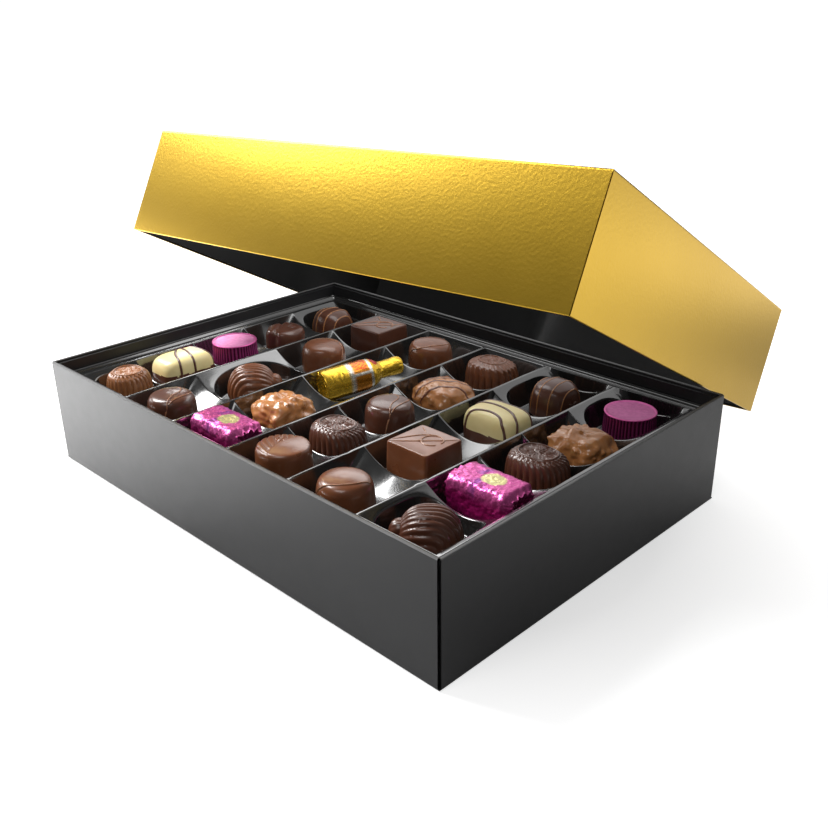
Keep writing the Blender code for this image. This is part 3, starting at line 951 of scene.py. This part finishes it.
def nut_dome(cell, size, look):
    """A low nut dome with darker stripes trailed over it."""
    bm = lumpy(size, 8, count=90, bump=0.05, width=0.13, rough=0.08)
    for across in (-0.55, -0.1, 0.3, 0.7):
        thread(bm, in_view(((-0.95, across - 0.1, 0.3), (-0.7, across + 0.05, 0.7),
                            (-0.2, across + 0.15, 1.05), (0.3, across + 0.12, 1.05),
                            (0.75, across, 0.8), (1, across - 0.2, 0.35)), size),
               0.8 * MM, 1, 0.5)
    return bm, ["nut", "milk"]


# ---- foil pieces ----

def print_and_shade_points(bm, colour_at):
    """Store each point's printed colour and painted shade."""
    layer = bm.verts.layers.float_color.new("print")
    for vert in bm.verts:
        vert[layer] = (*colour_at(vert.co), 1.0)


MAGENTA = (0.52, 0.012, 0.19)
PINK = (0.78, 0.13, 0.42)
VIOLET = (0.25, 0.06, 0.35)
PALE_YELLOW = (0.9, 0.82, 0.38)
GOLD = (1.0, 0.62, 0.05)
ORANGE = (0.66, 0.22, 0.02)
RED = (0.62, 0.05, 0.03)
WHITE = (0.9, 0.9, 0.8)


def blend(a, b, part):
    return tuple(x + (y - x) * part for x, y in zip(a, b))


PLEATS = 44


def uneven(angle):
    """The angle round a foil cup, moved so that its pleats aren't all alike."""
    return angle + 0.03 * math.sin(5 * angle)


def foil_cup(cell, size, look):
    """A pleated foil cup, pressed flat on top inside a rolled edge."""
    profile = ((0.95, 0), (0.98, 0.02), (0.99, 0.1), (0.985, 0.3), (0.965, 0.6), (0.95, 0.85),
               (0.95, 0.92), (0.965, 0.955), (0.965, 0.985), (0.94, 1), (0.9, 1),
               (0.87, 0.985), (0.8, 0.975), (0.5, 0.97), (0.2, 0.97), (0.02, 0.97))

    def pleats(angle, scale, level, point):
        if scale > 0.9 and level < 0.95:
            depth = 0.075 * smooth_step(0.96, 0.85, level)
            narrow(point, ribs(uneven(angle), PLEATS, depth))
        elif scale < 0.85:
            point.z += mottled(point, 4 * MM, 0.12 * MM)
        return point
    bm = moulded(size, profile, 352, 2.0, 2, pleats)
    top = 0.955 * size.z

    def colour_at(point):
        # Down the sides the pleat valleys are painted dark and the crests light: painted shade
        # and painted highlight on the pleats.
        if point.z < top:
            crest = abs(math.cos(PLEATS / 2 * uneven(math.atan2(point.y, point.x))))
            return blend((0.16, 0.005, 0.06), (0.8, 0.12, 0.45), crest ** 2)
        # The top is darker in the middle and pinker towards the rolled edge.
        return blend((0.55, 0.12, 0.33), PINK,
                     smooth_step(0.8, 0.97, Vector(point.xy).length / (size.x / 2)))
    print_and_shade_points(bm, colour_at)
    return bm, ["cup_foil"]


def foil_block(cell, size, look):
    """A small block wrapped in printed foil, its sides painted darker as shade, its ends gathered
    into folds.
    """
    half_x, half_y = size.x / 2, size.y / 2
    rings = []
    steps = 60
    for step in range(steps + 1):
        along = -1 + 2 * step / steps
        end = smooth_step(0.8, 1, abs(along))
        ring = []
        for angle in turns(96):
            flat = outline(angle, half_y, size.z / 2, 5 - 2 * end)
            fold = abs(math.sin(angle * 7 + 3 * math.copysign(1, along)))
            gather = 1 - 0.16 * end - end * 0.16 * fold
            slump = mottled(Vector((along * 8, flat.x / (2 * MM), flat.y / (2 * MM))), 1.5, 0.05)
            flat *= gather + slump * (0.8 + end)
            reach = along * half_x * (1 - 0.02 * abs(math.cos(angle * 7)) * end)
            ring.append(Vector((reach, flat.x, flat.y + size.z / 2)))
        rings.append(ring)
    for side, ring in ((-1, rings[0]), (1, rings[-1])):
        inward = []
        for shrink in (0.8, 0.55, 0.3, 0.1):
            middle = Vector((ring[0].x, 0, size.z / 2))
            level = []
            for number, point in enumerate(ring):
                crease = abs(math.sin(2 * math.pi * number / 96 * 6 + shrink * 2.5))
                moved = middle + (point - middle) * shrink
                moved.x = side * half_x * (0.93 + 0.05 * crease) * (1 - 0.1 * (1 - shrink))
                level.append(moved)
            inward.append(level)
        rings = inward[::-1] + rings if side < 0 else rings + inward
    bm = drawn_up(rings)
    for vert in bm.verts:
        vert.co.z = max(0.0, vert.co.z)

    def colour_at(point):
        # Darker magenta down the sides and lighter pink towards the top: painted shade. The
        # violet band, the yellow oval and its drawn ring are print.
        up = smooth_step(0.55, 0.95, point.z / size.z)
        shade = blend(MAGENTA, PINK, up)
        patch = noise.fractal(Vector((point.x, point.y, 0)) / (5 * MM), 0.7, 2.0, 3)
        band = math.exp(-((point.x + 3 * MM + 0.4 * point.y) / (3.5 * MM)) ** 2)
        shade = blend(shade, VIOLET, 0.85 * band * smooth_step(-0.25, 0.1, patch) * up)
        oval = ((point.x - 3 * MM) / (6 * MM)) ** 2 + (point.y / (5 * MM)) ** 2
        ring = ((point.x - 2.5 * MM) / (3.2 * MM)) ** 2 + ((point.y + 0.5 * MM) / (2.8 * MM)) ** 2
        if point.z > 0.8 * size.z:
            shade = blend(shade, PALE_YELLOW, smooth_step(1.08, 0.95, oval))
            drawn = smooth_step(0.25, 0.1, abs(ring - 1)) * smooth_step(1, 0.8, oval)
            shade = blend(shade, (0.45, 0.35, 0.3), 0.5 * drawn)
        return shade
    print_and_shade_points(bm, colour_at)
    return bm, ["foil"]


BOTTLE_LENGTH = 50 * MM
BOTTLE_RADIUS = 9 * MM
BOTTLE_TURN = math.radians(-18)
BOTTLE_LIFT = math.radians(5)


def foil_bottle(cell, size, look):
    """A little bottle in gold foil, on its side: crimped base, label, shoulder and neck."""
    profile = ((0.02, 0.035), (0.35, 0.04), (0.7, 0.015), (0.93, 0.0), (1, 0.03), (1, 0.2),
               (1.0, 0.4), (0.99, 0.52), (0.93, 0.6), (0.76, 0.66), (0.6, 0.7), (0.55, 0.74),
               (0.56, 0.85), (0.58, 0.93), (0.52, 0.985), (0.3, 1.0), (0.02, 0.995))
    rings = []
    for scale, level, _ in curve_through([(*pair, 0) for pair in profile], 5):
        ring = []
        for angle in turns(128):
            crease = abs(math.sin(7 * angle + 9 * scale)) if level < 0.05 and scale < 0.97 else 0
            fold = mottled(Vector((3 * math.cos(angle), 3 * math.sin(angle), 18 * level)), 1,
                           0.012 + 0.03 * smooth_step(0.6, 0.7, level))
            reach = BOTTLE_RADIUS * (scale * (1 + fold) - 0.04 * crease)
            ring.append(Vector((reach * math.cos(angle), reach * math.sin(angle),
                                BOTTLE_LENGTH * level + 1.1 * MM * crease * scale)))
        rings.append(ring)
    bm = drawn_up(rings)
    top = math.radians(90)

    def colour_at(point):
        level = point.z / BOTTLE_LENGTH
        angle = math.atan2(point.y, point.x)
        around = (angle - top + math.pi) % (2 * math.pi) - math.pi
        shade = GOLD
        for edge in (0.32, 0.56):
            shade = blend(shade, WHITE, smooth_step(0.022, 0.015, abs(level - edge)))
        if 0.33 < level < 0.55:
            inside = smooth_step(0.33, 0.342, level) * smooth_step(0.55, 0.538, level)
            shade = blend(shade, ORANGE, 0.9 * inside)
            mark = noise.fractal(Vector((level * 70, around * 7, 3)), 0.6, 2.0, 2)
            field = (smooth_step(0.85, 0.75, abs(around))
                     * smooth_step(0.04, 0.03, abs(level - 0.44) - 0.05))
            shade = blend(shade, RED, 0.9 * inside * field * smooth_step(-0.05, 0.05, mark))
            shade = blend(shade, WHITE, smooth_step(0.1, 0.06, abs(abs(around) - 1.05)) * inside)
        seal = ((level - 0.64) / 0.05) ** 2 + (around / 0.6) ** 2
        shade = blend(shade, RED, smooth_step(1.1, 0.9, seal))
        return shade
    print_and_shade_points(bm, colour_at)
    middle = BOTTLE_RADIUS + BOTTLE_LENGTH / 2 * math.sin(BOTTLE_LIFT)
    lay = (Matrix.Translation((0, 0, middle)) @ Matrix.Rotation(BOTTLE_TURN, 4, "Z")
           @ Matrix.Rotation(BOTTLE_LIFT - math.pi / 2, 4, "X")
           @ Matrix.Translation((0, 0, -BOTTLE_LENGTH / 2)) @ Matrix.Rotation(math.pi, 4, "Z"))
    bmesh.ops.transform(bm, matrix=lay, verts=bm.verts)
    return bm, ["gold_foil"]


# every maker is given the cell, the size and the name of the look, used or not
MAKERS = {maker.__name__: maker for maker in (
    swirl_round, smooth_dome, striped_dome, fluted_round, fluted_oval, leaf_drum, heart, square,
    cream_bar, shell, nut_cluster, nut_dome, foil_cup, foil_block, foil_bottle)}
SLOTS = {"cream_bar": "cream_chocolate", "foil_cup": "pink_foil", "foil_block": "pink_foil",
         "foil_bottle": "gold_foil"}


def make_pralines(materials):
    for cell, node in sorted(PRALINES.items()):
        kind = node.split("_", 2)[2]
        centre, size = spot(node)
        dark = cell in DARK_CELLS
        bm, looks = MAKERS[kind](cell, size, "dark" if dark else "milk")
        bmesh.ops.translate(bm, verts=bm.verts, vec=centre)
        slot = SLOTS.get(kind, "dark_chocolate" if dark else "milk_chocolate")
        piece(f"{kind}_{cell}", bm, [materials[look] for look in looks], node, slot, 60)


# ---- studio ----

def area_light(name, direction, distance, width, height, power, target=(0, 0, 0.05)):
    light = bpy.data.lights.new(name, "AREA")
    light.shape = "RECTANGLE"
    light.size, light.size_y = width, height
    light.energy = power
    item = bpy.data.objects.new(name, light)
    bpy.context.scene.collection.objects.link(item)
    away = Vector(direction).normalized()
    item.location = Vector(target) + away * distance
    item.rotation_euler = away.to_track_quat("Z", "Y").to_euler()
    item.visible_camera = False
    return item


def floor_glow(nodes):
    """How bright the floor is, seen directly and in reflections.

    Seen directly it glows white but for a painted shadow under the box. In reflections its glow
    is painted darker before the open corner and behind the lid, and brighter to the left and at
    the far right.
    """
    def with_distance(place, low, high, to_low, to_high):
        away = nodes.add("VectorMath", {0: place}, operation="LENGTH").outputs["Value"]
        return nodes.span(away, to_low, to_high, low, high)

    def around_spot(x, y, *limits):
        return with_distance(nodes.object_place(location=(-x, -y, 0)), *limits)

    in_half_boxes = nodes.object_place(scale=(1 / 0.15, 1 / 0.106, 1))
    # painted shadow round the box: faint seen directly, darker in reflections
    seen = with_distance(in_half_boxes, 1.1, 1.9, 0.6, 1.0)
    near = with_distance(in_half_boxes, 1.2, 2.2, 0.15, 1.0)
    # painted shadows in the reflected floor, before the open corner and behind the lid
    before_corner = around_spot(0.3, -0.3, 0.15, 0.47, 0.15, 1.0)
    behind_lid = around_spot(0.16, 0.36, 0.07, 0.2, 0.05, 1.0)
    # painted glows in the reflected floor, to the left and at the far right
    left_painted_glow = around_spot(-0.34, -0.22, 0.08, 0.34, 3.6, 0.0)
    far_painted_glow = around_spot(0.46, 0.54, 0.05, 0.27, 0.6, 0.0)
    mirrored = nodes.math("MULTIPLY_ADD", nodes.math("MULTIPLY", before_corner, behind_lid),
                          near, nodes.math("ADD", left_painted_glow, far_painted_glow))
    direct = nodes.add("LightPath").outputs["Is Camera Ray"]
    glow = nodes.add("Mix", {"Factor": direct, "A": mirrored, "B": seen}, data_type="FLOAT")
    return glow.outputs["Result"]


def make_studio():
    scene = bpy.context.scene
    world = bpy.data.worlds.new("studio")
    world.use_nodes = True
    sky = world.node_tree.nodes["Background"].inputs
    sky["Color"].default_value = rgb(1, 1, 1)
    sky["Strength"].default_value = 0.1
    scene.world = world
    scene.view_settings.view_transform = "Standard"

    bm = bmesh.new()
    bmesh.ops.create_circle(bm, cap_ends=True, segments=64, radius=40)
    mesh = bpy.data.meshes.new("studio_floor")
    bm.to_mesh(mesh)
    bm.free()
    material, nodes, shader = start_material("studio_floor", Roughness=0.7,
                                             Base_Color=rgb(0.6, 0.6, 0.6),
                                             Emission_Color=rgb(1, 1, 1))
    nodes.link(floor_glow(nodes), shader.inputs["Emission Strength"])
    mesh.materials.append(material)
    floor = bpy.data.objects.new("studio_floor", mesh)
    floor.location.z = -0.5 * MM
    scene.collection.objects.link(floor)

    area_light("key_softbox", (-0.68, -0.2, 0.705), 1.0, 0.42, 0.5, 13.5)
    area_light("back_softbox", (-0.68, 0.58, 0.44), 1.2, 0.6, 0.4, 5)
    area_light("front_softbox", (0.15, -0.62, 0.77), 1.0, 0.5, 0.4, 2.2)
    area_light("near_softbox", (-0.95, -0.32, 0.1), 0.45, 0.3, 0.25, 1.0, (-0.15, -0.1, 0.04))
    area_light("lid_softbox", (-0.81, -0.446, 0.377), 0.8, 0.2, 0.2, 0.16, (-0.15, -0.03, 0.17))
    for name, x, y, width, height, power in (("lid_glow", 0.119, -0.154, 0.15, 0.06, 0.09),
                                             ("lid_fill", 0.153, -0.109, 0.28, 0.18, 0.12)):
        light = area_light(name, (0, 0, 1), 0.1, width, height, power)
        light.matrix_world = lid_place() @ Matrix.Translation((x, y, LID_DEPTH - 6 * MM))

    camera = bpy.data.cameras.new("camera")
    camera.lens = 42.02
    camera.sensor_width = 36
    view = bpy.data.objects.new("camera", camera)
    view.location = (0.3551, -0.32446, 0.25283)
    view.rotation_euler = [math.radians(angle) for angle in (65.903, 0.744, 44.472)]
    scene.collection.objects.link(view)
    scene.camera = view


materials = make_materials()
make_base(materials)
make_lid(materials)
make_tray(materials)
make_pralines(materials)
make_studio()
